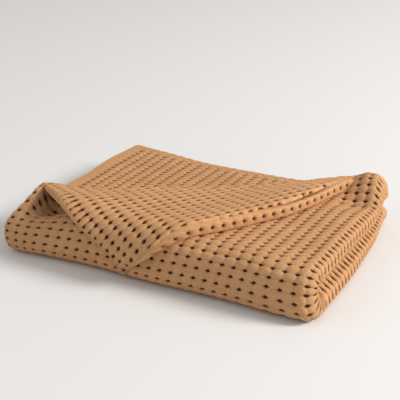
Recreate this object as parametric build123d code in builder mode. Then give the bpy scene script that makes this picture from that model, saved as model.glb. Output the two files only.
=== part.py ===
"""A waffle-weave throw, folded to sixteen layers, with one corner of its top layers turned over to the front.

The cloth was doubled from back to front, folded in four along its length, and folded over once more about its
front edge. So the stack is a lower and an upper half of eight layers, joined by the front nose. X runs along the
stack, Y from the front nose to the back edges, Z up. The origin is on the table, under the middle of the box.
"""

import math
import os

from build123d import *

# Driving dimensions, in millimetres
LENGTH = 450.0  # a 1800 mm throw folded in four
DEPTH = 335.0  # a 1300 mm throw folded in four, with the loft of its folds
HALF_FRONT = 35.0  # height of one half of the stack at the nose, where the folds puff up
HALF_BACK = 28.0  # and at the back, where they lie flat
LAYERS = 8  # layers in each half
TURNED = 4  # layers of the upper half whose corner is turned over
GAP = 0.3  # between surfaces that part when the throw is opened
NEST = 0.1  # between nested folds
HEM_THIN = 1.0  # the plain hems are this much thinner than the waffle layers
THREAD_WIDE, THREAD_THICK = 1.2, 0.6  # the hems' line of stitches
RIDGE_ANGLE = 31.0  # the turned corner's fold line, from X, in degrees
RIDGE_FROM_NOSE = 66.0  # where the fold line meets the left end
RIDGE_CLEAR = 1.0  # between the turned layers' cut edge and the turns behind it
TIP_DROP = 57.0  # how far the corner's tip hangs below the stack's front top edge

# Sizes that follow
LAYER_FRONT = HALF_FRONT / LAYERS
LAYER_BACK = HALF_BACK / LAYERS
FLAP_THICK = TURNED * LAYER_BACK
TIP_PROUD = FLAP_THICK + GAP
RIGHT_ROLL = HALF_FRONT / 2
LEFT_ROLL = TURNED * LAYER_FRONT / 2
BACK_EDGE = 5.0
CORNER_ROUND = 0.95  # share of a front corner's width that is rounded

X_LEFT, X_RIGHT = -LENGTH / 2, LENGTH / 2
X_PLATE_LEFT = X_LEFT + LEFT_ROLL
X_PLATE_RIGHT = X_RIGHT - RIGHT_ROLL
Y_NOSE = (TIP_PROUD - DEPTH) / 2
Y_FOLD = Y_NOSE + HALF_FRONT
Y_BACK = Y_NOSE + DEPTH
Y_PLATE_BACK = Y_BACK - BACK_EDGE
SLOPE = (HALF_FRONT - HALF_BACK) / (Y_PLATE_BACK - Y_FOLD)

# The turned corner: its fold line lies in the top face of the upper half
RIDGE = math.radians(RIDGE_ANGLE)
RIDGE_START = Vector(X_LEFT, Y_NOSE + RIDGE_FROM_NOSE)
RIDGE_DIRECTION = Vector(math.cos(RIDGE), math.sin(RIDGE))
TOP_TILT = math.degrees(math.atan(2 * SLOPE))
TOP_PLANE = Plane(
    origin=(0, Y_FOLD, 2 * HALF_FRONT + GAP), x_dir=(1, 0, 0), z_dir=(0, 2 * SLOPE, 1)
)

# The flap's outline on the top face, as distances from the stack's left end and from the nose
FLAP_FRONT = 30.0
FLAP_LEFT_FRONT = (64.0, FLAP_FRONT)
FLAP_RIGHT_FRONT = (276.0, FLAP_FRONT)
FLAP_RIGHT_MIDDLE = (350.0, 148.0)
FLAP_RIGHT_BACK = (388.0, 290.0)
FLAP_PEAK = (17.0, 70.0)
# The tip's outline on the front face, as distances from the left end and above the table
TIP_LEFT = (128.0, 40.0)
TIP_RIGHT = (238.0, 40.0)
TIP_END = (191.0, 2 * HALF_FRONT - TIP_DROP)

os.makedirs("parts", exist_ok=True)


def keep(part, name):
    """Labels a finished piece and writes it."""
    part.label = name
    export_step(part, f"parts/{name}.step")


def half_height(y):
    """Height of one half of the stack at y."""
    return HALF_FRONT - SLOPE * (y - Y_FOLD)


def layer_outline(layer, base):
    """A layer's section across Y and Z: a wedge, thick at the nose; base is 0 in the lower half and 1 in the upper."""
    ends = (Y_FOLD, Y_PLATE_BACK)
    low = [(y, (base + (layer - 1) / LAYERS) * half_height(y) + base * GAP) for y in ends]
    high = [(y, (base + layer / LAYERS) * half_height(y) + base * GAP) for y in ends]
    return [*low, *reversed(high)]


def layer_plate(layer, base):
    """One layer of one half, as a flat wedge between its end rolls."""
    with BuildPart() as plate:
        with BuildSketch(Plane.YZ.offset(X_PLATE_LEFT)):
            Polygon(layer_outline(layer, base), align=None)
        extrude(amount=X_PLATE_RIGHT - X_PLATE_LEFT)
    return plate.part


def beyond_ridge():
    """The block that the turned layers are cut back from, behind and left of the fold line."""
    line = Plane(
        origin=(RIDGE_START.X, RIDGE_START.Y, 0), x_dir=tuple(RIDGE_DIRECTION), z_dir=(0, 0, 1)
    )
    with BuildPart() as block:
        with BuildSketch(line):
            with Locations((0, -RIDGE_CLEAR)):
                Rectangle(3 * LENGTH, LENGTH, align=(Align.CENTER, Align.MIN))
        extrude(amount=4 * HALF_FRONT)
    return block.part


def end_roll(y_from, y_to, x, side, inner, outer, first, count, base):
    """Part of a roll at an end of the stack: the turn that joins two layers of a half, as thick as the layers.

    inner and outer count layers out from the roll's centre; first and count say which layers the roll spans."""
    with BuildPart() as roll:
        for y in (y_from, y_to):
            layer = half_height(y) / LAYERS
            middle = base * (half_height(y) + GAP) + (first - 1 + count / 2) * layer
            with BuildSketch(Plane.XZ.offset(-y)):
                with Locations((x, middle)):
                    Circle(outer * layer - NEST)
                    if inner:
                        Circle(inner * layer, mode=Mode.SUBTRACT)
                    Rectangle(
                        count * layer,
                        2 * count * layer,
                        align=(Align.MAX if side > 0 else Align.MIN, Align.CENTER),
                        mode=Mode.SUBTRACT,
                    )
        loft(ruled=True)
    return roll.part


def left_hem(layer, base):
    """The plain hem at a layer's free edge at the left end."""
    with BuildPart() as hem:
        for y in (Y_FOLD, Y_PLATE_BACK):
            thick = half_height(y) / LAYERS
            floor = base * (half_height(y) + GAP) + (layer - 1) * thick
            with BuildSketch(Plane.XZ.offset(-y)):
                with Locations((X_LEFT, floor)):
                    Rectangle(LEFT_ROLL, thick - HEM_THIN, align=(Align.MIN, Align.MIN))
        loft(ruled=True)
    return hem.part


def left_thread(layer, base):
    """The line of stitches that holds down a left hem, in the space that its thinness leaves."""
    middle = (X_LEFT + X_PLATE_LEFT) / 2
    with BuildPart() as thread:
        for y in (Y_FOLD, Y_PLATE_BACK):
            top = base * (half_height(y) + GAP) + layer * half_height(y) / LAYERS - HEM_THIN
            with BuildSketch(Plane.XZ.offset(-y)):
                with Locations((middle, top + THREAD_THICK / 2)):
                    Rectangle(THREAD_WIDE, THREAD_THICK)
        loft(ruled=True)
    return thread.part


def back_bar(y_from, y_to, z_from, z_to):
    """A bar along the back of the stack."""
    with BuildPart() as bar:
        with BuildSketch(Plane.YZ.offset(X_PLATE_LEFT)):
            with Locations((y_from, z_from)):
                Rectangle(y_to - y_from, z_to - z_from, align=(Align.MIN, Align.MIN))
        extrude(amount=X_PLATE_RIGHT - X_PLATE_LEFT)
    return bar.part


def back_hem(layer):
    """The plain hem at the back of a layer of the lower half."""
    low = (layer - 1) * LAYER_BACK
    return back_bar(Y_PLATE_BACK, Y_BACK, low, low + LAYER_BACK - HEM_THIN)


def back_thread(layer):
    """The line of stitches that holds down a back hem."""
    top = layer * LAYER_BACK - HEM_THIN
    middle = (Y_PLATE_BACK + Y_BACK) / 2
    return back_bar(middle - THREAD_WIDE / 2, middle + THREAD_WIDE / 2, top, top + THREAD_THICK)


# Lower half: eight layers, their turns at the right end, and their turns and hems at the left end and the back
for layer in range(1, LAYERS + 1):
    keep(layer_plate(layer, 0), f"lower_layer_{layer}")

# Upper half: the top four layers stop at the turned corner's fold line
for layer in range(1, LAYERS + 1):
    plate = layer_plate(layer, 1)
    if layer > LAYERS - TURNED:
        plate = plate - beyond_ridge()
    keep(plate, f"upper_layer_{layer}")

# Nose: each layer of the lower half turns up and over into the upper half, the lowest outermost
for layer in range(1, LAYERS + 1):
    with BuildPart() as nose:
        with BuildSketch(Plane.YZ.offset(X_PLATE_LEFT)):
            with Locations((Y_FOLD, HALF_FRONT)):
                Circle(layer * LAYER_FRONT - (NEST if layer < LAYERS else 0))
                if layer > 1:
                    Circle((layer - 1) * LAYER_FRONT, mode=Mode.SUBTRACT)
                Rectangle(
                    HALF_FRONT, 2 * HALF_FRONT, align=(Align.MIN, Align.CENTER), mode=Mode.SUBTRACT
                )
        extrude(amount=X_PLATE_RIGHT - X_PLATE_LEFT)
    keep(nose.part, f"front_nose_{layer}")

# The nose's ends are rounded, where its layers turn into the rolls at the stack's ends
for name, x, width in (
    ("front_right_corner", X_PLATE_RIGHT, RIGHT_ROLL),
    ("front_left_corner", X_PLATE_LEFT, -LEFT_ROLL),
):
    with BuildPart() as corner:
        with BuildSketch(Plane.YZ.offset(x)):
            with Locations((Y_FOLD, HALF_FRONT)):
                Circle(HALF_FRONT)
                Rectangle(
                    HALF_FRONT, 2 * HALF_FRONT, align=(Align.MIN, Align.CENTER), mode=Mode.SUBTRACT
                )
        extrude(amount=width)
        outer_face = corner.faces().filter_by(Axis.X).sort_by(Axis.X)[-1 if width > 0 else 0]
        fillet(outer_face.edges().filter_by(GeomType.CIRCLE), CORNER_ROUND * abs(width))
    keep(corner.part, name)

# Right end: in each half, eight layers turn into each other as four nested rolls
for base, half in enumerate(("lower", "upper")):
    rolls = [
        end_roll(Y_FOLD, Y_PLATE_BACK, X_PLATE_RIGHT, 1, n, n + 1, 1, LAYERS, base)
        for n in range(LAYERS // 2)
    ]
    keep(Compound(children=rolls), f"{half}_right_rolls")

# Left end: the outer four layers of each half turn into each other, and the inner four end in hems
y_ridge_left = RIDGE_START.Y - GAP
rolls = [
    end_roll(Y_FOLD, Y_PLATE_BACK, X_PLATE_LEFT, -1, n, n + 1, 1, TURNED, 0)
    for n in range(TURNED // 2)
]
keep(Compound(children=rolls), "lower_left_rolls")
rolls = [
    end_roll(Y_FOLD, y_ridge_left, X_PLATE_LEFT, -1, n, n + 1, TURNED + 1, TURNED, 1)
    for n in range(TURNED // 2)
]
keep(Compound(children=rolls), "upper_left_rolls")
for base, half, hemmed in (
    (0, "lower", range(TURNED + 1, LAYERS + 1)),
    (1, "upper", range(1, TURNED + 1)),
):
    keep(Compound(children=[left_hem(k, base) for k in hemmed]), f"{half}_left_hems")
    keep(Compound(children=[left_thread(k, base) for k in hemmed]), f"{half}_left_hem_threads")

# Back: the lower half ends in hems, and the upper half's layers turn into each other in pairs
keep(Compound(children=[back_hem(k) for k in range(1, LAYERS + 1)]), "lower_back_hems")
keep(Compound(children=[back_thread(k) for k in range(1, LAYERS + 1)]), "lower_back_hem_threads")
turns = []
for pair in range(TURNED // 2):
    with BuildPart() as turn:
        with BuildSketch(Plane.YZ.offset(X_PLATE_LEFT)):
            with Locations((Y_PLATE_BACK, HALF_BACK + GAP + (2 * pair + 1) * LAYER_BACK)):
                Circle(LAYER_BACK - NEST)
                Rectangle(
                    LAYER_BACK, 2 * LAYER_BACK, align=(Align.MAX, Align.CENTER), mode=Mode.SUBTRACT
                )
        extrude(amount=X_PLATE_RIGHT - X_PLATE_LEFT)
    turns.append(turn.part)
keep(Compound(children=turns), "upper_back_turns")


def at(point):
    """A point of the flap's outline, in the top face's own plane."""
    x, y = point
    return (X_LEFT + x, (Y_NOSE + y - Y_FOLD) / math.cos(math.radians(TOP_TILT)))


def ridge_at(distance):
    """A point on the corner's fold line, in the top face's own plane."""
    point = RIDGE_START + RIDGE_DIRECTION * distance
    return (point.X, (point.Y - Y_FOLD) / math.cos(math.radians(TOP_TILT)))


RIDGE_FROM, RIDGE_TO = 20.0, 455.0
FLAP_OUTLINE = [
    ridge_at(RIDGE_FROM),
    at(FLAP_PEAK),
    at(FLAP_LEFT_FRONT),
    at(FLAP_RIGHT_FRONT),
    at(FLAP_RIGHT_MIDDLE),
    at(FLAP_RIGHT_BACK),
    ridge_at(RIDGE_TO),
]

# Turned corner: four layers that lie on the top face, wrong side up
for layer in range(1, TURNED + 1):
    with BuildPart() as flap:
        with BuildSketch(TOP_PLANE.offset(GAP + (layer - 1) * LAYER_BACK)):
            with BuildLine():
                Polyline(*FLAP_OUTLINE, close=True)
            make_face()
        extrude(amount=LAYER_BACK)
    keep(flap.part, f"flap_layer_{layer}")


def edge_roll(start, end, low, radius):
    """A half-round turn along one straight edge of the flap, low above the top face, with the flap on its left."""
    a = TOP_PLANE.from_local_coords((*start, low + radius))
    b = TOP_PLANE.from_local_coords((*end, low + radius))
    along = (b - a).normalized()
    outward = along.cross(TOP_PLANE.z_dir)
    with BuildPart() as roll:
        with BuildSketch(Plane(origin=a, x_dir=outward, z_dir=along)):
            Circle(radius - NEST)
            Rectangle(radius, 2 * radius, align=(Align.MAX, Align.CENTER), mode=Mode.SUBTRACT)
        extrude(amount=(b - a).length)
    return roll.part


# The flap's left edge is the fold between its four layers; its right edge is a fold of two layers, twice
keep(
    edge_roll(at(FLAP_PEAK), at(FLAP_LEFT_FRONT), GAP, FLAP_THICK / 2), "flap_left_roll"
)
right_points = [at(FLAP_RIGHT_FRONT), at(FLAP_RIGHT_MIDDLE), at(FLAP_RIGHT_BACK)]
for pair, name in enumerate(("flap_right_roll_lower", "flap_right_roll_upper")):
    low = GAP + 2 * pair * LAYER_BACK
    rolls = [edge_roll(a, b, low, LAYER_BACK) for a, b in zip(right_points, right_points[1:])]
    keep(Compound(children=rolls), name)

# Ridge: the turned layers go round in four nested turns behind the fold line
ridge_origin = TOP_PLANE.from_local_coords((*ridge_at(RIDGE_FROM), 0))
ridge_end = TOP_PLANE.from_local_coords((*ridge_at(RIDGE_TO), 0))
ridge_along = (ridge_end - ridge_origin).normalized()
ridge_side = TOP_PLANE.z_dir.cross(ridge_along)
turns = []
for layer in range(1, TURNED + 1):
    with BuildPart() as turn:
        with BuildSketch(Plane(origin=ridge_origin, x_dir=ridge_side, z_dir=ridge_along)):
            Circle(layer * LAYER_BACK - NEST)
            if layer > 1:
                Circle((layer - 1) * LAYER_BACK, mode=Mode.SUBTRACT)
            Rectangle(FLAP_THICK, 2 * FLAP_THICK, align=(Align.MAX, Align.CENTER), mode=Mode.SUBTRACT)
        extrude(amount=(ridge_end - ridge_origin).length)
    turns.append(turn.part)
keep(Compound(children=turns), "corner_ridge_turns")

# Tip: where the flap's four layers go over the nose, bend down and end in the cloth's corner
BEND_INNER = FLAP_FRONT + GAP
BEND_Y = Y_NOSE + FLAP_FRONT
BEND_Z = 2 * HALF_FRONT + 2 * GAP - BEND_INNER
BEND_OUT = BEND_INNER + FLAP_THICK


def bend_cut(top_x, low_x):
    """The slanting plane of one edge of the bend, from the flap's front edge to the tip's top edge."""
    top = Vector(X_LEFT + top_x, BEND_Y, BEND_Z + BEND_OUT)
    low = Vector(X_LEFT + low_x, BEND_Y - BEND_OUT, BEND_Z)
    return Plane(origin=top, z_dir=(low - top).cross(Vector(0, -1, 1)))


bends = []
for layer in range(1, TURNED + 1):
    with BuildPart() as bend:
        with BuildSketch(Plane.YZ.offset(X_LEFT + FLAP_LEFT_FRONT[0])):
            with Locations((BEND_Y, BEND_Z)):
                Circle(BEND_INNER + layer * LAYER_BACK - NEST)
                Circle(BEND_INNER + (layer - 1) * LAYER_BACK, mode=Mode.SUBTRACT)
                Rectangle(BEND_OUT, 2 * BEND_OUT, align=(Align.MIN, Align.CENTER), mode=Mode.SUBTRACT)
                Rectangle(2 * BEND_OUT, BEND_OUT, align=(Align.CENTER, Align.MAX), mode=Mode.SUBTRACT)
        extrude(amount=FLAP_RIGHT_FRONT[0] - FLAP_LEFT_FRONT[0])
        split(bisect_by=bend_cut(FLAP_LEFT_FRONT[0], TIP_LEFT[0]), keep=Keep.BOTTOM)
        split(bisect_by=bend_cut(FLAP_RIGHT_FRONT[0], TIP_RIGHT[0]), keep=Keep.TOP)
    bends.append(bend.part)
keep(Compound(children=bends), "tip_bend")

for layer in range(1, TURNED + 1):
    y_inner = BEND_Y - BEND_INNER - (layer - 1) * LAYER_BACK
    with BuildPart() as tip:
        with BuildSketch(Plane.XZ.offset(-y_inner)):
            with BuildLine():
                Polyline(
                    (X_LEFT + TIP_LEFT[0], BEND_Z),
                    (X_LEFT + TIP_END[0], TIP_END[1]),
                    (X_LEFT + TIP_RIGHT[0], BEND_Z),
                    close=True,
                )
            make_face()
        extrude(amount=LAYER_BACK)
    keep(tip.part, f"tip_layer_{layer}")

print("top face falls", round(TOP_TILT, 2), "degrees to the back")
print("ridge from", tuple(round(v, 2) for v in ridge_origin), "to", tuple(round(v, 2) for v in ridge_end))
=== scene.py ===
"""The look of a folded waffle-weave throw, with one corner of its top layers turned over to the front.

Shapes are worked out in millimetres in the throw's own axes: a runs from the left end, b from the front nose
and z up from the table. The cloth is modelled as nets of points, and a waffle relief is pressed into each
net: puffed cells with a groove along each column and row, and a pit where the grooves cross.
"""

import math

import bpy
import numpy as np
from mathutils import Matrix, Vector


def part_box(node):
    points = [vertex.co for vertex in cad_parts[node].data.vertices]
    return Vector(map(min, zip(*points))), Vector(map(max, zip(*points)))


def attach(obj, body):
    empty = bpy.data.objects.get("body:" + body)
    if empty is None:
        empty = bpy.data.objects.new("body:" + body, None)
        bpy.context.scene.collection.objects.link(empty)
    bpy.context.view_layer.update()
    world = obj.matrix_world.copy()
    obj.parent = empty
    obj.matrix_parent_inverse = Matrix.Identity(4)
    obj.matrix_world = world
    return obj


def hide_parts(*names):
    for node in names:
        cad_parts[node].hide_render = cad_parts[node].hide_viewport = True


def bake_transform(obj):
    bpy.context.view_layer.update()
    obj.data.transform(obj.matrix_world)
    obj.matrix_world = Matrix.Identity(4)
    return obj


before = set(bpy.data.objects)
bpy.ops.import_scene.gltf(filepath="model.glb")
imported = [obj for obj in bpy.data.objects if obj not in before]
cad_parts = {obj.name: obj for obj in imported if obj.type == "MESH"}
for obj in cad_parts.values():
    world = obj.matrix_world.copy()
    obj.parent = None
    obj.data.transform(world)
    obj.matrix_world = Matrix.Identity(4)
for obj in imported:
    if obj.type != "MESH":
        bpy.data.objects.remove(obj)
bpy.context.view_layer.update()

# ---------------------------------------------------------------- sizes taken from the frame, in millimetres
MM = 0.001


def low(node, axis):
    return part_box(node)[0][axis] / MM


def high(node, axis):
    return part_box(node)[1][axis] / MM


X, Y, Z = range(3)
LEFT_X = low("lower_left_hems", X)
NOSE_Y = low("front_nose_8", Y)
LENGTH = high("lower_right_rolls", X) - LEFT_X
DEPTH = high("lower_back_hems", Y) - NOSE_Y
HALF = high("lower_layer_8", Z)  # height of one half at the nose
FOLD = low("lower_layer_1", Y) - NOSE_Y  # distance from the nose to the line that the halves turn about
LAYERS = 8
PLATE_BACK = high("lower_layer_8", Y) - NOSE_Y
HALF_BACK = low("lower_layer_8", Z) * LAYERS / (LAYERS - 1)
SLOPE = (HALF - HALF_BACK) / (PLATE_BACK - FOLD)
RIGHT_ROLL = LENGTH - (high("lower_layer_8", X) - LEFT_X)
LEFT_ROLL = low("lower_layer_8", X) - LEFT_X
OPEN_GAP = 0.3  # between the two halves
FACE_BACK = DEPTH - 3  # the outer cloth ends here, just inside the back edges

# ---------------------------------------------------------------- the weave
COLUMN = LENGTH / 28  # a cell's width along the stack
PHASE = 0.5  # the first groove is this many cells from the left end
ROW = (DEPTH - FOLD) / 26  # a cell's depth across the stack
NOSE_ROWS = 9  # rows round the nose, where the cloth is stretched
# Stations in a cell, crowded at its grooves
FINE_COLUMN = (0.0, 0.05, 0.12, 0.24, 0.41, 0.59, 0.76, 0.88, 0.95)
FINE_ROW = (0.0, 0.07, 0.17, 0.34, 0.66, 0.83, 0.93)
COARSE = (0.0, 0.25, 0.5, 0.75)  # for the cloth that is hidden between the halves
GROOVE = 1.25  # depth of the grooves between cells
GROOVE_POWER = 0.75  # below 1, so that the cells are puffed and the grooves narrow
PIT = 2.6  # depth of the pits where they cross
PIT_WIDE, PIT_LONG = 2.1, 1.55  # half widths of a pit, along and across the stack
PIT_SHADE = 1.3  # above 1, so that painted shade darkens the whole floor of a pit
FACE_PITS, FLAP_PITS = 1.15, 1.35  # pits on the flat faces and on the turned corner are this much wider
SLIT = 2.2  # a pit on a tight roll is this many times longer round the roll
CROSS_THIN = 0.9  # half width of the painted shade along the crease lines that run out from a pit
CROSS_WIDE, CROSS_LONG = 2.6, 2.4  # how far that painted shade runs, in half widths of a pit
# how dark the painted crease shade is, where it runs along the stack and where it runs across it
CROSS_WIDE_SHADE, CROSS_LONG_SHADE = 0.4, 0.2

# ---------------------------------------------------------------- the turned corner, in the throw's axes
# Each outline is a short list of given points. Past the nose, b counts on along the cloth, below 0
CREST = [  # the fold, as (a, b) from its left end to its right end
    (8, 67), (35, 74), (70, 80), (104, 98), (131, 115), (168, 145),
    (200, 163), (257, 201), (313, 250), (366, 300), (412, 333),
]
CREST_RISE = [(0, 11), (0.15, 10), (0.5, 9), (0.8, 11), (1.0, 14)]  # (share of its length, height)
TIP = (182, -53)
LEFT_EDGE = [  # (share of the way from the fold to the tip, a, b)
    (0, 8, 67), (0.25, 54, 33), (0.44, 86, 15), (0.6, 116, 1),
    (0.78, 150, -12), (0.9, 171, -26), (1.0, 182, -53),
]
RIGHT_EDGE = [
    (0, 412, 333), (0.12, 392, 285), (0.28, 375, 214), (0.42, 356, 154), (0.54, 332, 109), (0.64, 308, 68),
    (0.74, 282, 32), (0.82, 260, 11), (0.9, 228, -13), (0.96, 203, -33), (1.0, 182, -53),
]
UPPER_INSET = 14.0  # the upper pair's right edge is this far inside the lower pair's
LOWER_PAIR = 15.0  # how thick the lower pair is along the right edge


def smooth(x):
    x = np.clip(x, 0.0, 1.0)
    return x * x * (3 - 2 * x)


def ramp(x, start, end):
    """0 before start and 1 after end, with a smooth rise between. The end may lie on either side."""
    return smooth((x - start) / (end - start))


def bump(x, wide):
    return np.exp(-((x / wide) ** 2))


def curve(x, knots):
    """A smooth curve through (x, y) knots."""
    xs, ys = np.array(knots, float).T
    slopes = np.gradient(ys, xs)
    i = np.clip(np.searchsorted(xs, x) - 1, 0, len(xs) - 2)
    h = xs[i + 1] - xs[i]
    t = np.clip((x - xs[i]) / h, 0, 1)
    return (
        (1 + 2 * t) * (1 - t) ** 2 * ys[i]
        + t * (1 - t) ** 2 * h * slopes[i]
        + t * t * (3 - 2 * t) * ys[i + 1]
        + t * t * (t - 1) * h * slopes[i + 1]
    )


def unit(v):
    return v / np.maximum(np.linalg.norm(v, axis=-1, keepdims=True), 1e-9)


def half_height(b):
    return HALF - SLOPE * np.maximum(b - FOLD, 0)


def top_height(b):
    """The stack's ideal top face."""
    return 2 * half_height(b) + OPEN_GAP


def crest_b(a):
    """Where the corner's fold crosses the stack at a."""
    return curve(a, CREST)


# ---------------------------------------------------------------- how the real throw has settled
HUMP_A = 424  # a hump stands at the right end of the corner's fold
HUMP_LEFT, HUMP_RIGHT = 36, 47  # its reach to each side
HUMP_RISE = 0.86  # the cloth's height above the middle grows by this share on the hump
HUMP_FALL = 0.3  # and this share of the growth goes again at the back edge
LEFT_DIP = 17  # the left end of the nose has sunk by this much
VALLEY = 9  # and so has the cloth in front of the hump
POCKET = 25  # depth of the hollow under the fold's left end
PEAK = 15  # height of the peak that stands there
PEAK_LEAN = 0.75  # the peak leans to the right by this share of its height
RIPPLE, FINE_RIPPLE = 0.9, 0.5
BACK_BOW = [(0, 6), (70, -3), (143, -11), (266, -10), (330, -7), (450, -4)]  # (a, how far it stands out)
BACK_NARROW = 12  # the right end comes in by this much towards the back
FOOT = 9  # the lower half stands out by this much at the right end and at the nose
LEFT_UNEVEN, LEFT_WAVE = 3.0, 1.2  # how the left end wanders, with height and along the edge
LEFT_BULGE, BULGE_Z = 13, 34  # how far the left end bulges near the nose, and the height of the bulge
NOSE_LEAN = 0.22  # the nose leans to the left by this share of the depth under the top
NOSE_WAVE = 1.6
NOSE_LEFT = 5  # the left end of the nose stands forward by this much


def settle(p):
    """Moves ideal points to where the soft stack has them."""
    a, b, z = p[..., 0], p[..., 1], p[..., 2]

    # Up and down: the hump, the dips, the hollow under the peak and the peak
    hump = HUMP_RISE * ramp(b, 252, 308) * bump(a - HUMP_A, np.where(a < HUMP_A, HUMP_LEFT, HUMP_RIGHT))
    z = z + np.maximum(z - half_height(b), 0) * (hump * (1 - HUMP_FALL * ramp(b, 316, 338)))
    dip = LEFT_DIP * bump(a, 85) * bump(b - 12, 40) + VALLEY * bump(a - 408, 30) * bump(b - 256, 28)
    pocket = POCKET * bump(a - 44, 30) * bump(b - 58, np.where(b < 58, 33, 18)) * ramp(a, 8, 34)
    peak = PEAK * bump(a - 4, 22) * bump(b - 62, 26) * (z / (2 * HALF)) ** 2
    ripple = RIPPLE * np.sin(a / 41 + 0.6) * np.sin(b / 53 + 1.1) + FINE_RIPPLE * np.sin(a / 19 + b / 33)
    z = z * (1 - (dip + pocket) / (2 * HALF)) + ripple * z / (2 * HALF) + peak

    # Along and across: the back edge, the right end, the left end and the nose
    bow = curve(a, BACK_BOW)
    a = a + PEAK_LEAN * peak * ramp(a, 40, 0)
    b = b + bow * ramp(b, 190, 335)
    a = a - BACK_NARROW * ramp(b, 230, 335) * ramp(a, 250, 450)
    low_down = smooth((1.2 * HALF - z) / HALF)
    a = a + FOOT * ramp(a, 330, 440) * ramp(b, 280, 110) * low_down
    a = a + (LEFT_UNEVEN * np.sin(z / 22 + 0.5) + LEFT_WAVE * np.sin(b / 23)) * ramp(a, 60, 0)
    a = a - LEFT_BULGE * ramp(a, 90, 0) * ramp(b, 130, 0) * (0.25 + 0.75 * bump(z - BULGE_Z, 24))
    a = a - NOSE_LEAN * (2 * HALF - z) * ramp(b, 45, 0) * ramp(a, 0, 70) * ramp(a, 440, 370)
    b = b - (FOOT * low_down + NOSE_WAVE * np.sin(a / 29)) * ramp(b, 45, 0)
    b = b - NOSE_LEFT * ramp(a, 70, 0) * ramp(b, 60, 0)
    return np.stack([a, b, z], -1)


# ---------------------------------------------------------------- nets and meshes
def stations(start, end, cuts):
    """Places from start to end, counted in cells, crowded round the grooves where cuts are."""
    whole = np.arange(math.floor(start) - 1, math.ceil(end) + 1)
    places = (whole[:, None] + np.array(cuts)[None, :]).ravel()
    inside = places[(places > start + 0.02) & (places < end - 0.02)]
    return np.concatenate([[start], inside, [end]])


def grooves(cells):
    """How far into a groove each place is, 1 at its bottom. Places are counted in cells."""
    return 1 - np.abs(np.sin(np.pi * cells)) ** GROOVE_POWER


def off_groove(cells):
    """The distance to the nearest groove, in cells."""
    return cells - np.round(cells)


def waffle(cells, slit, size):
    """(how far the weave is pressed in, how much shade is painted on) at each point of a net: in each pit and
    along its crease lines.
    """
    groove = GROOVE * (grooves(cells[..., 0]) + grooves(cells[..., 1]))
    along, over = off_groove(cells[..., 0]) * COLUMN, off_groove(cells[..., 1]) * ROW
    pit = bump(along, PIT_WIDE * size * (1 + (SLIT - 1) * slit)) * bump(over, PIT_LONG * size)
    # painted shade along the crease lines between cells, where shade falls in the grooves
    painted_crease_shade = CROSS_WIDE_SHADE * bump(along, CROSS_WIDE * PIT_WIDE) * bump(over, CROSS_THIN)
    painted_crease_shade = painted_crease_shade + CROSS_LONG_SHADE * bump(over, CROSS_LONG * PIT_LONG) * bump(along, CROSS_THIN)
    return groove + PIT * pit, np.clip(PIT_SHADE * pit + painted_crease_shade, 0, 1)


def normals(net, flip):
    across = np.gradient(net, axis=0)
    along = np.gradient(net, axis=1)
    return unit(np.cross(across, along) * (-1 if flip else 1))


def pressed(net, cells, slit, flip, size, depth=1.0, shade=1.0):
    """A net with the waffle pressed into it, less deep and with less painted shade where depth and shade are
    below 1.
    """
    sink, pit = waffle(cells, slit, size)
    return (net - normals(net, flip) * (sink * depth)[..., None], cells, pit * shade, flip)


def to_frame(points):
    """From the throw's millimetres to the frame's metres."""
    return (points + np.array([LEFT_X, NOSE_Y, 0.0])) * MM


def mesh_of(name, nets):
    """One mesh of several nets, each (points in mm, cells, painted shade, flip). Painted shade and cells go
    with the points.
    """
    verts, uvs, pits, faces, start = [], [], [], [], 0
    for points, cells, pit, flip in nets:
        m, n = points.shape[:2]
        index = np.arange(m * n).reshape(m, n) + start
        quads = np.stack([index[:-1, :-1], index[1:, :-1], index[1:, 1:], index[:-1, 1:]], -1).reshape(-1, 4)
        faces.append(quads[:, ::-1] if flip else quads)
        verts.append(points.reshape(-1, 3))
        uvs.append(cells.reshape(-1, 2))
        pits.append(pit.ravel())
        start += m * n
    verts, faces = np.concatenate(verts), np.concatenate(faces)
    mesh = bpy.data.meshes.new(name)
    mesh.vertices.add(len(verts))
    mesh.vertices.foreach_set("co", to_frame(verts).astype(np.float32).ravel())
    mesh.loops.add(len(faces) * 4)
    mesh.loops.foreach_set("vertex_index", faces.astype(np.int32).ravel())
    mesh.polygons.add(len(faces))
    mesh.polygons.foreach_set("loop_start", np.arange(0, len(faces) * 4, 4, dtype=np.int32))
    mesh.polygons.foreach_set("use_smooth", np.ones(len(faces), bool))
    mesh.update(calc_edges=True)
    # the pit attribute holds the painted shade of each pit, crease line and gap
    painted_shade_attribute = mesh.attributes.new("pit", "FLOAT", "POINT")
    painted_shade_attribute.data.foreach_set("value", np.concatenate(pits).astype(np.float32))
    layer = mesh.uv_layers.new(name="weave")
    layer.data.foreach_set("uv", (np.concatenate(uvs)[faces.ravel()]).astype(np.float32).ravel())
    mesh.validate()
    piece = bpy.data.objects.new(name, mesh)
    bpy.context.scene.collection.objects.link(piece)
    return piece


# ---------------------------------------------------------------- the stack's outer cloth
LEFT_ARC = math.pi * LEFT_ROLL
RIGHT_ARC = math.pi * RIGHT_ROLL
LIP = 14.0  # how far the cloth runs in behind the left roll
LIP_START = LEFT_ROLL - LEFT_ARC - LIP
BAND = 6.0  # width of the plain hem that shows beside the turned corner
RUN_END = LENGTH - RIGHT_ROLL
CREASE = RUN_END + RIGHT_ARC  # where the cloth goes in between the halves
FACE_END = CREASE + RUN_END - LEFT_ROLL
ROLL_EASE = 0.9  # radians of a roll over which the pits grow longer
FOURTH = 0.5  # top of the fourth layer, as a share of the half's height
BARE = 0.02  # what is left of the height above it behind the corner's fold
CUT_INSET, CUT_WIDE = 3, 7  # the step down lies this far in front of the fold, and is this wide


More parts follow.
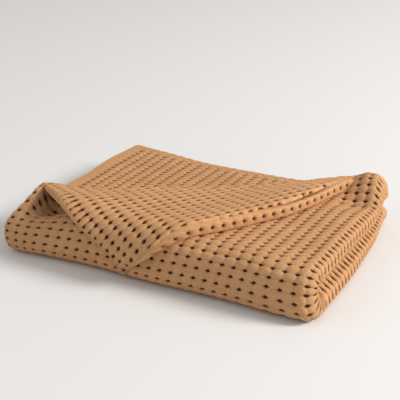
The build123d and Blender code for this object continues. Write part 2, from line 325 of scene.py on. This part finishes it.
def profile(s):
    """(a, height in the half, how tightly rolled) of the outer cloth at s along it.

    It goes from the lip behind the left roll, round that roll, along the outer face, round the right roll to
    the crease and back along the inner face. Height 0 is between the halves."""
    left = np.clip((LEFT_ROLL - s) / LEFT_ARC, 0, 1) * math.pi
    right = np.clip((s - RUN_END) / RIGHT_ARC, 0, 1) * math.pi
    a = np.clip(s, LEFT_ROLL, RUN_END) - LEFT_ROLL * np.sin(left) + RIGHT_ROLL * np.sin(right)
    a = a + np.maximum(LEFT_ROLL - LEFT_ARC - s, 0) - np.maximum(s - CREASE, 0)
    height = 1 - 0.25 * (1 - np.cos(left)) - 0.5 * (1 - np.cos(right))
    rolled = smooth(left / ROLL_EASE) * (s > LEFT_ROLL - LEFT_ARC) + smooth(right / ROLL_EASE) * (s < CREASE)
    return a, height, np.clip(rolled, 0, 1)


def cut_corner(a, b, height):
    """Lowers the outer face to the fourth layer behind the corner's fold."""
    kept = smooth((crest_b(np.maximum(a, CREST[0][0])) - CUT_INSET - b) / CUT_WIDE + 0.5)
    lowered = FOURTH + (height - FOURTH) * (BARE + (1 - BARE) * kept)
    height = np.where(height > FOURTH, lowered, height)
    bare = (1 - kept) * (height > FOURTH - 0.01)
    return a + bare * np.clip(BAND - a, 0, BAND), height, kept


def half_net(s, b, upper):
    """(points, how tightly rolled, depth of the weave) of one half's outer cloth, behind the fold line."""
    a, height, rolled = (np.repeat(v[:, None], len(b), 1) for v in profile(s))
    b = np.repeat(b[None, :], len(s), 0)
    depth = np.ones(a.shape)
    if upper:
        a, height, kept = cut_corner(a, b, height)
        depth = np.where(s[:, None] < BAND, kept, 1.0)
        z = half_height(b) * (1 + height) + OPEN_GAP
    else:
        z = half_height(b) * (1 - height)
    return settle(np.stack([a, b, z], -1)), rolled, depth


def squircle(angle):
    """The nose's section, squarer than a circle, and squarest where it rests on the table."""
    power = 0.85 - 0.3 * smooth(angle / math.pi * 2 - 0.9)
    c, s = np.cos(angle), np.sin(angle)
    return np.sign(c) * np.abs(c) ** power, np.abs(s) ** power


def even_turn(share):
    """Angles round the nose that are evenly spaced along the cloth."""
    angle = np.linspace(0, math.pi, 361)
    up, out = squircle(angle)
    arc = np.concatenate([[0], np.cumsum(np.hypot(np.diff(up), np.diff(out)))])
    return np.interp(share, arc / arc[-1], angle)


def nose_net(s, angle):
    """The outer cloth where it turns from the upper half round the nose to the lower one."""
    a, height, rolled = profile(s)
    up, out = squircle(angle)
    radius = (HALF * height)[:, None]
    b = FOLD - radius * out[None, :]
    z = HALF + radius * up[None, :] + OPEN_GAP * (1 - angle / math.pi)[None, :]
    points = np.stack([np.repeat(a[:, None], len(angle), 1), b, z], -1)
    return settle(points), np.repeat(rolled[:, None], len(angle), 1)


def cells_of(s, t):
    return np.stack(np.broadcast_arrays((s / COLUMN + PHASE)[:, None], t[None, :]), -1)


def columns(start, end, cuts):
    """Stations along the outer cloth, in millimetres."""
    return (stations(start / COLUMN + PHASE, end / COLUMN + PHASE, cuts) - PHASE) * COLUMN


ROUND_NOSE = columns(LIP_START, CREASE, FINE_COLUMN)
OUTER = np.concatenate([ROUND_NOSE, columns(CREASE, FACE_END, COARSE)[1:]])
ROWS = stations(0, (FACE_BACK - FOLD) / ROW, FINE_ROW)
NOSE_TURN = stations(0, NOSE_ROWS, FINE_ROW)


def half_cloth(name, upper):
    net, rolled, depth = half_net(OUTER, FOLD + ROWS * ROW, upper)
    return mesh_of(name, [pressed(net, cells_of(OUTER, ROWS), rolled, not upper, FACE_PITS, depth, depth)])


upper_cloth = half_cloth("upper_half_cloth", True)
lower_cloth = half_cloth("lower_half_cloth", False)
net, rolled = nose_net(ROUND_NOSE, even_turn(NOSE_TURN / NOSE_ROWS))
nose_cloth = mesh_of("front_nose_cloth", [pressed(net, cells_of(ROUND_NOSE, -NOSE_TURN), rolled, True, 1.0)])

# ---------------------------------------------------------------- edges: hems and turns, as rounded strips
STRIP_REACH = 14.0  # how far an edge's strip runs back between the layers
PATH_STEP = 2.0  # distance between stations along a straight edge
PATH_TURN = 26  # stations round a half turn, both its ends counted
BACK_WANDER = (1.1, 37, 0.7, 15)  # (size, length) of the two waves that make an edge uneven
LEFT_WANDER = (1.3, 41, 0.5, 17)
WANDER_STEP = 24  # shifts the waves from one layer to the next
HEM_RIB, HEM_WAVE = 0.12, 0.06  # relief of a hem's plain weave
TURN_GROOVE, TURN_PIT, TURN_PIT_WIDE = 0.55, 1.6, 1.5  # the waffle on a turn's rounded edge
# how dark the shade painted into a turn's pits is
TURN_SHADE = 0.9
HEM_SLACK = 0.9  # a hem at the left end is thinner than its layer by this much


def wander(x, shift, size, length, fine_size, fine_length):
    """How far a hand-folded edge strays at x."""
    return size * np.sin(x / length + shift) + fine_size * np.sin(x / fine_length + 2 * shift)


def strip(centre, outward, normal, thick, place, weave):
    """An edge of cloth along a path: rounded on its outward side, and reaching back in between the layers."""
    around = np.linspace(0, math.pi, 9)
    flat = np.array([STRIP_REACH, STRIP_REACH * 0.5])
    out = np.concatenate([-flat, thick.mean() / 2 * (np.sin(around) - 1), -flat[::-1]])
    up = np.concatenate([[1, 1], np.cos(around), [-1, -1]]) / 2
    net = settle(
        centre[:, None, :]
        + outward[:, None, :] * out[None, :, None]
        + normal[:, None, :] * (thick[:, None] * up[None, :])[..., None]
    )
    girth = np.cumsum(np.concatenate([[0], np.hypot(np.diff(out), np.diff(up) * thick.mean())]))
    girth = girth - girth.mean()
    cells = np.stack(np.broadcast_arrays(place[:, None], girth[None, :] / ROW), -1)
    if weave == "hem":
        fine = HEM_RIB * np.cos(cells[..., 0] * 2 * math.pi) + HEM_WAVE * np.sin(cells[..., 0] * 7.3)
        return (net + normals(net, True) * fine[..., None], cells, np.zeros(fine.shape), True)
    lengthwise = np.cos(girth / (thick.mean() * 0.9))[None, :]
    pit = bump(off_groove(cells[..., 0]) * COLUMN, TURN_PIT_WIDE) * np.clip(lengthwise, 0, 1) ** 0.5
    sink = TURN_GROOVE * grooves(cells[..., 0]) + TURN_PIT * pit
    # each pit on the turn is also painted darker, as shade
    return (net - normals(net, True) * sink[..., None], cells, pit * TURN_SHADE, True)


def straight(a_from, a_to, height):
    """A straight run along the back edge, as (a, height in the half) at each station."""
    count = max(int(abs(a_to - a_from) / PATH_STEP), 2)
    return [(a, height) for a in np.linspace(a_from, a_to, count)]


def half_turn(centre_a, centre, radius_a, radius, side, down):
    """A half turn at an end. Side is 1 at the right, -1 at the left. Down is 1 where height falls, else -1."""
    angle = np.linspace(0, math.pi, PATH_TURN)[1:-1]
    return [(centre_a + side * radius_a * math.sin(t), centre + down * radius * math.cos(t)) for t in angle]


def back_edge(path, upper, thick, weave, shift):
    """A strip along the back edges of one half, following a path of (a, height in the half)."""
    a, height = np.array(path).T
    z = HALF_BACK * (1 + height) + OPEN_GAP if upper else HALF_BACK * (1 - height)
    centre = np.stack([a, np.full_like(a, DEPTH - 1.5) + wander(a, shift, *BACK_WANDER), z], -1)
    outward = np.tile([0.0, 1.0, 0.0], (len(a), 1))
    along = unit(np.gradient(centre * np.array([1, 0, 1]), axis=0))
    steps = np.concatenate([[0], np.cumsum(np.linalg.norm(np.diff(centre, axis=0), axis=1))])
    return strip(centre, outward, np.cross(outward, along), np.full(len(a), thick), steps / COLUMN, weave)


def left_edge(layer_height, upper):
    """A hem at the left end of one layer."""
    b = np.arange(FOLD, FACE_BACK, 2.2)
    thick = half_height(b) / LAYERS - HEM_SLACK
    z = half_height(b) * (1 + layer_height) + OPEN_GAP if upper else half_height(b) * (1 - layer_height)
    centre = np.stack([0.5 + wander(b, WANDER_STEP * layer_height, *LEFT_WANDER), b, z], -1)
    outward = np.tile([-1.0, 0.0, 0.0], (len(b), 1))
    normal = np.tile([0.0, 0.0, 1.0], (len(b), 1))
    return strip(centre, outward, normal, thick, b / ROW, "hem")


def nose_edge(layer_height):
    """A hem at the left end of one layer, round the nose."""
    up, out = squircle(np.linspace(0, math.pi, 40))
    radius = HALF * layer_height
    b = FOLD - radius * out
    z = HALF + radius * up
    left = 0.5 + wander(FOLD, WANDER_STEP * layer_height, *LEFT_WANDER)
    centre = np.stack([np.full_like(b, left), b, z], -1)
    outward = np.tile([-1.0, 0.0, 0.0], (len(b), 1))
    normal = unit(np.stack([np.zeros_like(b), -out, up], -1))
    thick = np.full(len(b), HALF / LAYERS - HEM_SLACK)
    return strip(centre, outward, normal, thick, np.linspace(0, 10 * layer_height, len(b)), "hem")


INNER_HEIGHTS = [(k + 0.5) / LAYERS for k in range(4)]
upper_hems = mesh_of("upper_left_hem_cloth", [left_edge(h, True) for h in INNER_HEIGHTS])
lower_hems = mesh_of("lower_left_hem_cloth", [left_edge(h, False) for h in INNER_HEIGHTS])
nose_hems = mesh_of("front_left_hem_cloth", [nose_edge(h) for h in INNER_HEIGHTS])

EDGE_START = 2  # the back edges start this far from the left end


def spiral(first):
    """The path of one of the lower half's two back edges, from its innermost layer round both rolls."""
    path = straight(EDGE_START, RUN_END, first)
    path += half_turn(RUN_END, 0.5, RIGHT_ROLL * (1 - 2 * first), 0.5 - first, 1, -1)
    path += straight(RUN_END, LEFT_ROLL, 1 - first)
    path += half_turn(LEFT_ROLL, 0.75, LEFT_ROLL * (1 - 4 * first), 0.25 - first, -1, 1)
    path += straight(LEFT_ROLL, RUN_END, 0.5 + first)
    path += half_turn(RUN_END, 0.5, RIGHT_ROLL * 2 * first, first, 1, 1)
    return path + straight(RUN_END, EDGE_START, 0.5 - first)


def upper_turn(start, turned_from):
    """The path of one of the upper half's paired turns: along inner layers, round the roll, to the fold."""
    path = straight(EDGE_START, RUN_END, start)
    path += half_turn(RUN_END, 0.5, RIGHT_ROLL * (1 - 2 * start), 0.5 - start, 1, -1)
    return path + straight(RUN_END, turned_from, 1 - start)


HEM = HALF_BACK / LAYERS - 0.5
back_hems = mesh_of("lower_back_hem_cloth", [
    back_edge(spiral(0.5 / LAYERS), False, HEM, "hem", 0.3),
    back_edge(spiral(1.5 / LAYERS), False, HEM, "hem", 1.9),
])
PAIR = HALF_BACK / 4 - 0.4
back_turns = mesh_of("upper_back_turn_cloth", [
    back_edge(upper_turn(1 / LAYERS, 392), True, PAIR, "waffle", 0.9),
    back_edge(upper_turn(3 / LAYERS, 396), True, PAIR, "waffle", 2.4),
])

STITCH, STITCH_STEP = 3.4, 5.2  # a stitch's length, and the distance from one stitch to the next
STITCH_THICK = 0.45
STITCH_UP = 0.2  # how far its middle is above the cloth
STITCH_RINGS, STITCH_SIDES = 5, 7


def stitch(a, b, z):
    """A short rounded stitch that lies along b."""
    turn = np.linspace(0, 2 * math.pi, STITCH_SIDES)
    share = np.linspace(-1, 1, STITCH_RINGS)
    thin = STITCH_THICK * np.sqrt(1.02 - share**2)
    ring = np.stack([np.cos(turn), np.zeros(STITCH_SIDES), np.sin(turn)], -1)
    middle = np.array([a, b, z]) + share[:, None, None] * np.array([0, STITCH / 2, 0])
    net = middle + thin[:, None, None] * ring[None]
    size = (STITCH_RINGS, STITCH_SIDES)
    return settle(net), np.zeros((*size, 2)), np.zeros(size), False


stitch_rows = np.arange(crest_b(BAND) + 18, DEPTH - 14, STITCH_STEP)
stitches = mesh_of("upper_hem_stitches", [
    stitch(BAND + 3.0, b, float(half_height(b)) * (1 + FOURTH) + OPEN_GAP + STITCH_UP) for b in stitch_rows
])

# ---------------------------------------------------------------- the turned corner
DRAPE_START = 90  # in front of this b the corner's place is measured along the cloth
EDGE_POWER = 1.5  # how quickly the shape of an edge dies out across the corner
PACKED, PACKED_FROM = 0.35, 20  # rows are packed closer by this share in front of this b
INNER_TOP = 13.5  # height of the corner's top over the stack, away from the fold
RIGHT_TOP, RIGHT_FROM = 6.5, 0.6  # how much more it has at the right edge, and where across it starts to rise
TOP_WAVE, LEFT_SWELL = 1.2, 1.0  # its gentle waves, and how much more it has at the left edge
SEAM_Q = 0.09  # the ridge piece and the corner's own cloth meet here, as a share of the way to the tip
UNDER_RISE = 0.8  # height of the underside over the stack
LEFT_TURN, RIGHT_TURN = 8.5, 6.0  # how wide the rolls along the left and right edges are
NARROW = 40  # both get smaller where the corner is narrower than this
LIP_SHARE, LIP_REACH = 0.52, 16  # height of the right edge's lower lip, and how far it runs back
UNDER, ROLL, TOP, EDGE, BACK = 90, 17, 220, 11, 4  # stations across the corner, part by part
CORNER_ROWS = 230


def nose_line():
    """The stack's outer section in b and z, from DRAPE_START forward and down, and its arc length."""
    up, out = squircle(np.linspace(0, math.pi, 181))
    flat = np.linspace(DRAPE_START, FOLD + 1, 40)
    b = np.concatenate([flat, np.minimum.accumulate(FOLD - HALF * out)])
    z = np.concatenate([top_height(flat), HALF + HALF * up + OPEN_GAP])
    arc = np.concatenate([[0], np.cumsum(np.hypot(np.diff(b), np.diff(z)))])
    return b, z, arc


DRAPE_B, DRAPE_Z, DRAPE_ARC = nose_line()
DRAPE_OUT = unit(np.stack([np.gradient(DRAPE_Z), -np.gradient(DRAPE_B)], -1))


def laid(a, flat, rise):
    """Places flap points: a, the flat distance from the nose, and the rise over the stack's ideal surface."""
    arc = DRAPE_START - flat
    b = np.where(arc > 0, np.interp(arc, DRAPE_ARC, DRAPE_B), flat)
    z = np.where(arc > 0, np.interp(arc, DRAPE_ARC, DRAPE_Z), top_height(flat))
    out_b = np.where(arc > 0, np.interp(arc, DRAPE_ARC, DRAPE_OUT[:, 0]), 0.0)
    out_z = np.where(arc > 0, np.interp(arc, DRAPE_ARC, DRAPE_OUT[:, 1]), 1.0)
    length = np.maximum(np.hypot(out_b, out_z), 1e-6)
    return np.stack([a, b + out_b / length * rise, z + out_z / length * rise], -1)


CREST_KNOTS = np.array(CREST, float)
CREST_LENGTH = np.concatenate([[0], np.cumsum(np.hypot(*np.diff(CREST_KNOTS, axis=0).T))])
CREST_SHARE = CREST_LENGTH / CREST_LENGTH[-1]


def crest_point(p):
    p = np.asarray(p, float)
    return np.stack([curve(p, list(zip(CREST_SHARE, CREST_KNOTS[:, i]))) for i in range(2)], -1)


def edge_point(edge, q):
    edge = np.array(edge, float)
    return np.stack([curve(q, list(zip(edge[:, 0], edge[:, i]))) for i in (1, 2)], -1)


def flap_plan(p, q):
    """A point of the flap in plan: p across it from its left edge, q from the ridge to the tip."""
    p, q = np.broadcast_arrays(p, q)
    tip, left, right = np.array(TIP, float), crest_point(0.0), crest_point(1.0)
    down = q[..., None]
    left_bow = edge_point(LEFT_EDGE, q) - (1 - down) * left - down * tip
    right_bow = edge_point(RIGHT_EDGE, q) - (1 - down) * right - down * tip
    plan = (1 - down) * crest_point(p) + down * tip
    return plan + (1 - p)[..., None] ** EDGE_POWER * left_bow + p[..., None] ** EDGE_POWER * right_bow


# The flap's cloth runs the other way about the fold: its columns lie along its left edge
LEFT_DIRECTION = unit(np.array(LEFT_EDGE[4][1:], float) - np.array(LEFT_EDGE[0][1:], float))
ACROSS = np.array([-LEFT_DIRECTION[1], LEFT_DIRECTION[0]])


def flap_cells(plan):
    closer = PACKED * np.maximum(PACKED_FROM - plan[..., 1], 0)
    rel = plan - np.stack([np.zeros(closer.shape), closer], -1) - CREST_KNOTS[0]
    return np.stack([(rel @ ACROSS) / COLUMN + 0.5, (rel @ LEFT_DIRECTION) / ROW], -1)


def flap_top(p, q):
    """How high the flap's top stands above the stack's ideal surface."""
    rise = curve(p, CREST_RISE)
    inner = INNER_TOP + RIGHT_TOP * smooth((p - RIGHT_FROM) / (1 - RIGHT_FROM))
    inner = inner + TOP_WAVE * np.sin(7 * p + 5 * q) + LEFT_SWELL * bump(p, 0.2)
    return rise + (inner - rise) * smooth(q / 0.25)


def across_flap(q, wide):
    """Stations across the flap at q, as (distance from the left edge, rise).

    They go along the underside, round the left roll, over the top and round the right edge."""
    small = min(1.0, wide / NARROW)
    left, right = LEFT_TURN * small, RIGHT_TURN * small
    inside = wide - left - right
    under = left + np.linspace(0.95, 0, UNDER) * inside
    turn = np.linspace(0, math.pi, ROLL)
    run = left + np.linspace(0, 1, TOP + 2)[1:-1] * inside
    top = UNDER_RISE + (flap_top(run / wide, q) - UNDER_RISE) * small
    first = UNDER_RISE + (flap_top(np.array(0.0), q) - UNDER_RISE) * small
    edge = np.linspace(0, math.pi, EDGE)
    lip = top[-1] * LIP_SHARE
    back = np.linspace(0, LIP_REACH, BACK + 1)[1:] * small
    distance = np.concatenate([
        under,
        left * (1 - np.sin(turn)),
        run,
        wide - right * (1 - np.sin(edge)),
        wide - right - back,
    ])
    rise = np.concatenate([
        np.full(UNDER, UNDER_RISE),
        UNDER_RISE + (first - UNDER_RISE) * (1 - np.cos(turn)) / 2,
        top,
        top[-1] - (top[-1] - lip) * (1 - np.cos(edge)) / 2,
        np.full(BACK, lip),
    ])
    return distance, rise


def flap_row(q):
    """(plan points, rises, distances from the left edge) of the upper cloth at q."""
    q1 = np.array(float(q))
    ends = flap_plan(np.array([0.0, 1.0]), q1)
    wide = max(float(np.linalg.norm(ends[1] - ends[0])), 1e-4)
    distance, rise = across_flap(q, wide - UPPER_INSET * smooth(wide / 60))
    return flap_plan(np.clip(distance / wide, 0, 1), q1), rise, distance


def flap_net():
    """(points, cells, how tightly rolled, depth of the weave) of the turned corner's upper cloth."""
    rows = [flap_row(q) for q in SEAM_Q + (1 - SEAM_Q) * np.linspace(0, 1, CORNER_ROWS) ** 0.95]
    plan, rise, distance = (np.array([row[k] for row in rows]) for k in range(3))
    slit = ramp(distance, 26, 18) * ramp(plan[..., 1], -25, 5)
    depth = ramp(distance, 3, 8)
    slit[:, :UNDER] = 0
    depth[:, :UNDER] = 1
    return laid(plan[..., 0], plan[..., 1], rise), flap_cells(plan), slit, depth


points, cells, slit, depth = flap_net()
flap_cloth = mesh_of("turned_corner_cloth", [pressed(points, cells, slit, False, FLAP_PITS, depth, depth)])

PAIR_INSIDE = np.array([22, 15, 9])  # how far in the lower pair's two flat sides run
PAIR_ROUND = 4.2  # how far its rounded edge stands out from there
PAIR_PLACES = np.array([12, 9, 7.5])  # the same points' places in the weave, from the middle of the edge
PAIR_GIRTH = 6.5  # half the girth of the rounded edge
PAIR_PIT_WIDE, PAIR_PIT_LONG = 2.7, 2.4
GAP_SHADE, GAP_Q, GAP_LONG = 0.55, 0.3, 0.16  # painted shade in the gap above it: how dark, where along it, how long


def lower_pair():
    """The flap's lower pair of layers where it shows: a rounded edge along the flap's right side."""
    q = np.linspace(0.02, 0.985, 300)
    edge = edge_point(RIGHT_EDGE, q)
    inward = unit(flap_plan(np.full_like(q, 0.9), q) - edge)
    small = (0.35 + 0.65 * smooth((1 - q) / 0.12)) * (0.4 + 0.6 * smooth(q / 0.1))
    turn = np.linspace(0, math.pi, 17)
    out = np.concatenate([PAIR_INSIDE, PAIR_ROUND * (1 - np.sin(turn)), PAIR_INSIDE[::-1]])
    up = np.concatenate([[1, 1, 1], (1 + np.cos(turn)) / 2, [0, 0, 0]])
    plan = edge[:, None, :] + inward[:, None, :] * (out[None, :] * small[:, None])[..., None]
    rise = 0.5 + LOWER_PAIR * up[None, :] * small[:, None]
    points = laid(plan[..., 0], plan[..., 1], rise)
    place = np.concatenate([[0], np.cumsum(np.linalg.norm(np.diff(edge, axis=0), axis=1))]) / COLUMN
    girth = np.concatenate([PAIR_PLACES, np.cos(turn) * PAIR_GIRTH, -PAIR_PLACES[::-1]])
    cells = np.stack(np.broadcast_arrays(place[:, None], girth[None, :] / ROW), -1)
    pit = bump(off_groove(place)[:, None] * COLUMN, PAIR_PIT_WIDE) * bump(girth[None, :] - 0.8, PAIR_PIT_LONG)
    sink = GROOVE * grooves(place)[:, None] + PIT * pit
    # shade painted on the inner rows, where the gap under the upper pair is in shadow
    painted_gap_shade = GAP_SHADE * bump(q - GAP_Q, GAP_LONG)[:, None] * ramp(out, 5, 9)[None, :]
    return points - normals(points, False) * sink[..., None], cells, np.maximum(pit, painted_gap_shade), False


flap_pair = mesh_of("turned_corner_lower_fold", [lower_pair()])

GATHERED = 0.1  # depth of the weave where the fold is gathered
RIDGE_TOP, RIDGE_ROUND = 13, 24  # rows on the flap's top, and rows round the fold
RIDGE_EASE = 8  # rows over which the weave gets shallow
RIDGE_BULGE = 9.0  # how far the fold stands out behind its crest
RIDGE_WIDE = 60  # width of the cloth that goes round the fold


def ridge_net():
    """(points, cells, depth of the weave) of the cloth from the flap's top, round the fold and down."""
    plan, rise, distance = flap_row(SEAM_Q)
    shown = slice(UNDER + ROLL // 2, None)
    plan, rise, distance = plan[shown], rise[shown], distance[shown]
    p = np.maximum.accumulate((distance - distance[0]) / (distance.max() - distance[0]))
    crest = crest_point(p * 0.985)
    inward = plan - crest
    reach = np.linalg.norm(inward, axis=-1)
    inward = inward / reach[:, None]
    top = curve(p, CREST_RISE) * np.clip(rise / flap_top(p, SEAM_Q), 0, 1)
    drop = half_height(crest[:, 1]) * FOURTH + 1.0
    bulge = RIDGE_BULGE * smooth(p / 0.03) * smooth((1 - p) / 0.02)
    towards_crest = np.linspace(1, 0, RIDGE_TOP + 1)[:-1]
    rows = [(reach * k, top + (rise - top) * smooth(k)) for k in towards_crest]
    for turn in np.linspace(0, math.pi, RIDGE_ROUND):
        rows.append((-bulge * np.sin(turn), top - (top + drop) * (1 - np.cos(turn)) / 2))
    distance, rise = (np.array([row[k] for row in rows]).T for k in range(2))
    spread = crest[:, None, :] + inward[:, None, :] * distance[..., None]
    points = laid(spread[..., 0], spread[..., 1], rise)
    flat = np.concatenate([towards_crest * reach.mean(), np.linspace(0, -RIDGE_WIDE, RIDGE_ROUND)])
    spread = inward[:, None, :] * flat[None, :, None] * (reach / reach.mean())[:, None, None]
    easing = np.linspace(1, GATHERED, RIDGE_EASE)
    gathered = np.concatenate([np.ones(RIDGE_TOP), easing, np.full(RIDGE_ROUND - RIDGE_EASE, GATHERED)])
    return points, flap_cells(crest[:, None, :] + spread), np.broadcast_to(gathered, points.shape[:2])


points, cells, depth = ridge_net()
no_slit = np.zeros(depth.shape)
# the weave is shallow round the fold, but each pit keeps its full painted shade
ridge_cloth = mesh_of("corner_ridge_cloth", [pressed(points, cells, no_slit, False, FLAP_PITS, depth)])


# ---------------------------------------------------------------- materials
def put(tree, node, inputs):
    """Sets each input of a node to a value, or links it to another node's output."""
    for key, value in inputs.items():
        if isinstance(value, bpy.types.NodeSocket):
            tree.links.new(value, node.inputs[key])
        else:
            node.inputs[key].default_value = value


def add(tree, kind, inputs):
    node = tree.nodes.new(kind)
    put(tree, node, inputs)
    return node


def mix(tree, kind, inputs, blend="MIX"):
    """A mix of two values or colours."""
    node = tree.nodes.new("ShaderNodeMix")
    node.data_type = kind
    node.blend_type = blend
    put(tree, node, inputs)
    return node.outputs["Result"]


def cotton(name, colour, shade, pit_shade_colour):
    """Soft cotton in two tones, with a random fibre tone, painted light and shade along the spun yarn, and
    shade painted in where a net's pit attribute says.
    """
    material = bpy.data.materials.new(name)
    material.use_nodes = True
    tree = material.node_tree
    shader = tree.nodes["Principled BSDF"]
    place = tree.nodes.new("ShaderNodeTexCoord").outputs["Object"]
    weave = tree.nodes.new("ShaderNodeUVMap")
    weave.uv_map = "weave"
    # reads the painted shade that the nets keep in the pit attribute
    pit = tree.nodes.new("ShaderNodeAttribute")
    pit.attribute_name = "pit"

    broad = add(tree, "ShaderNodeTexNoise", {"Scale": 26, "Detail": 4, "Vector": place}).outputs["Fac"]
    fibre = add(tree, "ShaderNodeTexNoise", {"Scale": 650, "Detail": 5, "Vector": place}).outputs["Fac"]
    wave = {"Scale": 3.2, "Distortion": 0.6, "Detail": 2, "Vector": weave.outputs["UV"]}
    yarn_node = add(tree, "ShaderNodeTexWave", wave)
    yarn_node.bands_direction = "Y"
    yarn = yarn_node.outputs["Fac"]

    tone = mix(tree, "RGBA", {"A": (*shade, 1), "B": (*colour, 1), "Factor": broad})
    # random fibre tone, with light and shade painted along the yarn's ribs; both are multiplied into the
    # colour
    spun = mix(tree, "FLOAT", {"A": fibre, "B": yarn, "Factor": 0.3})
    contrast = {"From Min": 0.3, "From Max": 0.7, "To Min": 0.66, "To Max": 1.24, "Value": spun}
    fibre_and_yarn_shade = add(tree, "ShaderNodeMapRange", contrast).outputs["Result"]
    with_fibre_and_yarn_shade = mix(tree, "RGBA", {"A": tone, "B": fibre_and_yarn_shade, "Factor": 1.0}, "MULTIPLY")
    # painted shade: a dark brown is mixed in where the pit attribute says shade falls
    pit_shade_range = {"From Min": 0.12, "From Max": 0.7, "Value": pit.outputs["Fac"]}
    deep = add(tree, "ShaderNodeMapRange", pit_shade_range).outputs["Result"]
    with_pit_shade = mix(tree, "RGBA", {"A": with_fibre_and_yarn_shade, "B": (*pit_shade_colour, 1), "Factor": deep})

    height = tree.nodes.new("ShaderNodeMath")
    height.operation = "MULTIPLY_ADD"
    put(tree, height, {0: yarn, 1: 0.6, 2: fibre})
    bumps = {"Strength": 0.8, "Distance": 0.0012, "Height": height.outputs["Value"]}
    relief = add(tree, "ShaderNodeBump", bumps).outputs["Normal"]
    put(tree, shader, {
        "Base Color": with_pit_shade,
        "Normal": relief,
        "Roughness": 0.92,
        "Specular IOR Level": 0.12,
        "Sheen Weight": 0.12,
        "Sheen Roughness": 0.6,
        "Sheen Tint": (*colour, 1),
    })
    return material


# the dark brown painted as shade in pits, crease lines and gaps
PAINTED_PIT_SHADE = (0.085, 0.028, 0.008)
waffle_cloth = cotton("waffle_cotton", (0.75, 0.415, 0.205), (0.63, 0.335, 0.157), PAINTED_PIT_SHADE)
hem_cloth = cotton("hem_cotton", (0.73, 0.405, 0.20), (0.61, 0.325, 0.152), PAINTED_PIT_SHADE)
thread = cotton("hem_thread", (0.72, 0.38, 0.17), (0.66, 0.34, 0.15), (0.075, 0.024, 0.007))

for piece in (upper_cloth, lower_cloth, nose_cloth, back_turns, flap_cloth, flap_pair, ridge_cloth):
    piece.data.materials.append(waffle_cloth)
for piece in (upper_hems, lower_hems, nose_hems, back_hems):
    piece.data.materials.append(hem_cloth)
stitches.data.materials.append(thread)

# ---------------------------------------------------------------- bodies
for piece in (upper_cloth, upper_hems, back_turns, stitches):
    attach(piece, "upper_half")
for piece in (lower_cloth, lower_hems, back_hems):
    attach(piece, "lower_half")
# The nose's cloth bends over its whole height, and the corner's where it comes over the nose
for piece in (nose_cloth, nose_hems):
    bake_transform(piece)
for piece in (flap_cloth, flap_pair):
    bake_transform(piece)
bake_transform(ridge_cloth)

every = sorted(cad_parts)
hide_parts(*[n for n in every if n.startswith("lower_")])
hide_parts(*[n for n in every if n.startswith("upper_")])
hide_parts(*[n for n in every if n.startswith("front_")])
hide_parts(*[n for n in every if n.startswith(("flap_", "tip_", "corner_"))])


# ---------------------------------------------------------------- floor, light and camera
FLOOR_REACH = 4
floor_mesh = bpy.data.meshes.new("floor")
corners = [(x * FLOOR_REACH, y * FLOOR_REACH, 0) for x, y in ((-1, -1), (1, -1), (1, 1), (-1, 1))]
floor_mesh.from_pydata(corners, [], [(0, 1, 2, 3)])
floor = bpy.data.objects.new("floor", floor_mesh)
bpy.context.scene.collection.objects.link(floor)
pale = bpy.data.materials.new("pale_floor")
pale.use_nodes = True
pale_shader = pale.node_tree.nodes["Principled BSDF"]
put(pale.node_tree, pale_shader, {"Base Color": (0.75, 0.745, 0.745, 1), "Roughness": 0.8})
floor_mesh.materials.append(pale)

LIGHT_AIM = (0, 0, 0.03)


def area_light(name, place, size, power, colour):
    data = bpy.data.lights.new(name, "AREA")
    data.shape, data.size, data.energy, data.color = "DISK", size, power, colour
    light = bpy.data.objects.new(name, data)
    bpy.context.scene.collection.objects.link(light)
    light.location = place
    direction = np.array(LIGHT_AIM) - np.array(place)
    yaw = math.atan2(direction[1], direction[0])
    fall = math.atan2(math.hypot(direction[0], direction[1]), -direction[2])
    light.rotation_euler = (fall, 0, yaw - math.pi / 2)


area_light("key", (3.3, 1.0, 2.1), 1.4, 183, (1.0, 0.965, 0.92))
area_light("fill", (-1.2, -1.4, 1.2), 1.8, 4.5, (1.0, 0.95, 0.88))
world = bpy.data.worlds.new("studio")
world.use_nodes = True
sky = world.node_tree.nodes["Background"]
put(world.node_tree, sky, {"Color": (0.93, 0.92, 0.91, 1), "Strength": 0.57})
bpy.context.scene.world = world
bpy.context.scene.view_settings.view_transform = "Standard"

CAMERA_PLACE = (0.615, -1.2013, 0.667)
CAMERA_HEADING = -27.52  # degrees from +Y, towards -X
CAMERA_FALL = 24.26  # degrees below the horizon
camera_data = bpy.data.cameras.new("camera")
camera_data.lens, camera_data.sensor_width = 94.4, 36
camera = bpy.data.objects.new("camera", camera_data)
camera.location = CAMERA_PLACE
camera.rotation_euler = (math.radians(90 - CAMERA_FALL), 0, math.radians(-CAMERA_HEADING))
bpy.context.scene.collection.objects.link(camera)
bpy.context.scene.camera = camera
